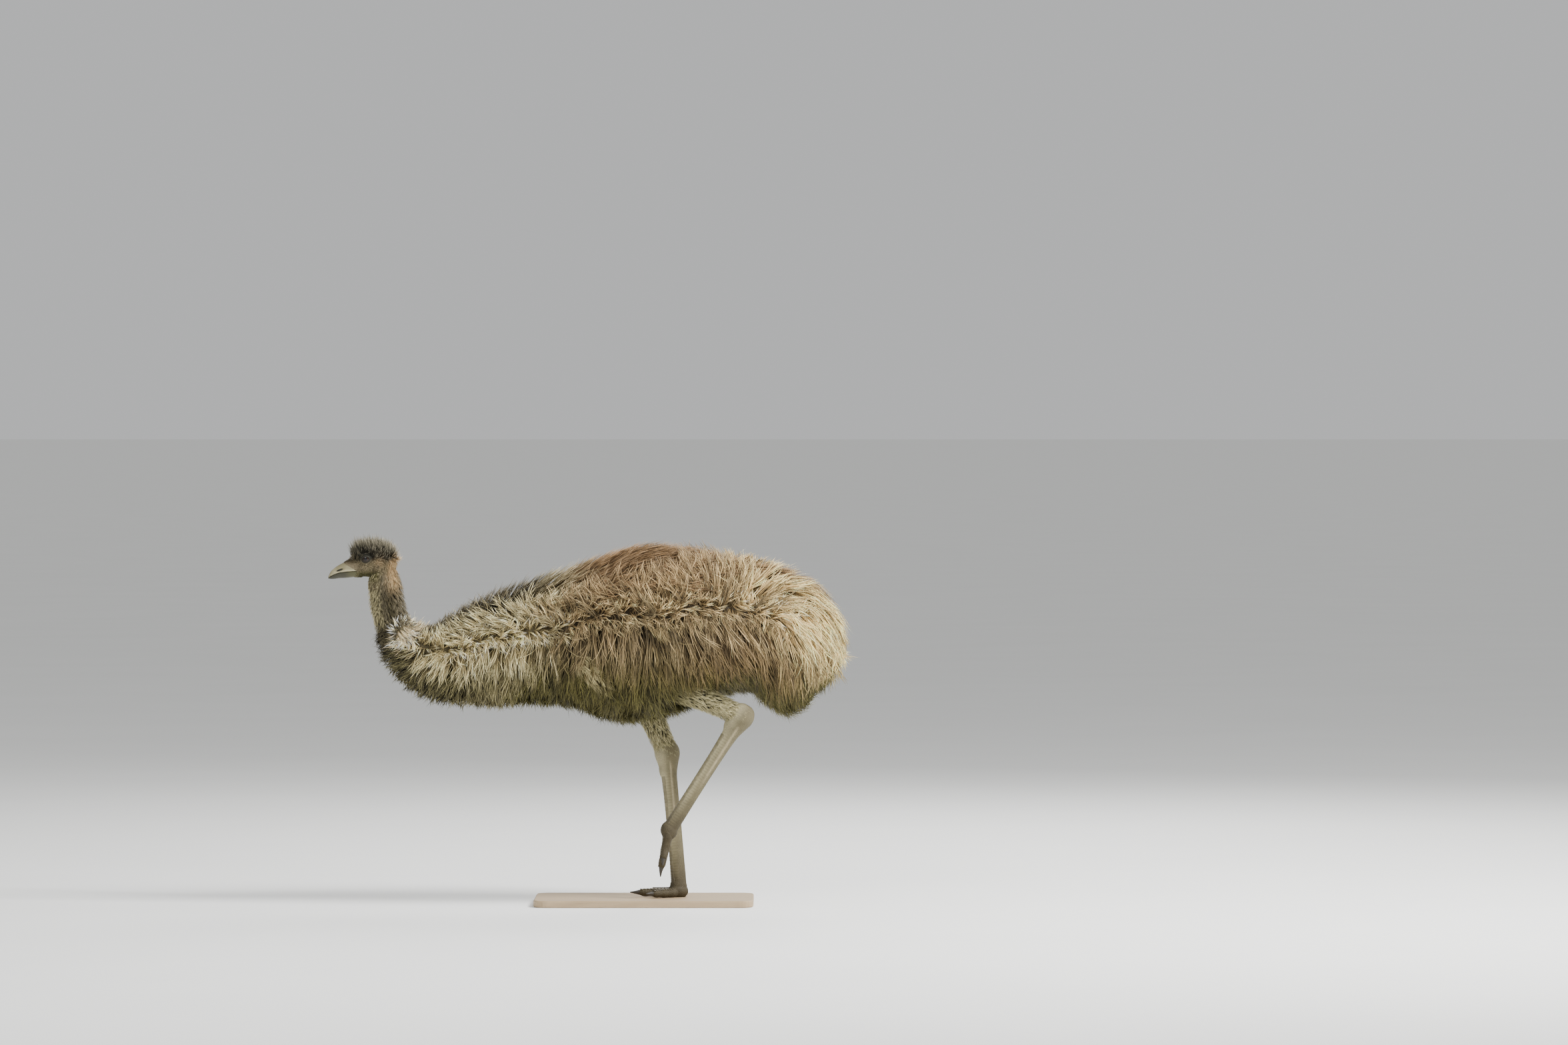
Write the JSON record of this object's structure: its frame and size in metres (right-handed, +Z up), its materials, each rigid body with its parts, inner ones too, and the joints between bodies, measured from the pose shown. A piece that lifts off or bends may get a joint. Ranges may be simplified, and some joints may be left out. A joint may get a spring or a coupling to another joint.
{
  "type": "emu",
  "caption": "Life-size still model of an adult emu walking with its head held low, standing on its right foot on a plain flat base.",
  "frame": {"origin": "middle of the underside of the base, on the ground under the bird", "axes": "+Z up; the bird faces -X, so its left side faces -Y; the plane y = 0 halves its body"},
  "size_m": [1.5396, 0.4097, 1.0704],
  "materials": {
    "coat": "long, loose, brown-grey feathers with pale tips",
    "neck_coat": "long, loose, greyish-buff feathers, darker below",
    "head_coat": "short, dark, bristly feathers over grey-blue skin",
    "calf_coat": "short, close feathers",
    "bill": "smooth horn, grey with a darker edge",
    "eye": "wet, dark brown",
    "leg_skin": "dry, scaly skin",
    "claw": "dull horn",
    "base": "plain, satin"
  },
  "bodies": {
    "root": {"torso": "coat", "tail": "coat", "wing_left": "coat", "wing_right": "coat", "neck_lower": "neck_coat", "neck_middle": "neck_coat", "neck_upper": "neck_coat", "head": "head_coat", "bill_upper": "bill", "bill_lower": "bill", "eye_left": "eye", "eye_right": "eye", "leg_left": "calf_coat", "leg_right": "calf_coat", "tarsus_left": "leg_skin", "tarsus_right": "leg_skin", "foot_left": "leg_skin", "foot_right": "leg_skin", "toe_inner_left": "leg_skin", "toe_middle_left": "leg_skin", "toe_outer_left": "leg_skin", "toe_inner_right": "leg_skin", "toe_middle_right": "leg_skin", "toe_outer_right": "leg_skin", "claw_inner_left": "claw", "claw_middle_left": "claw", "claw_outer_left": "claw", "claw_inner_right": "claw", "claw_middle_right": "claw", "claw_outer_right": "claw", "stand_base": "base"}
  },
  "joints": []
}
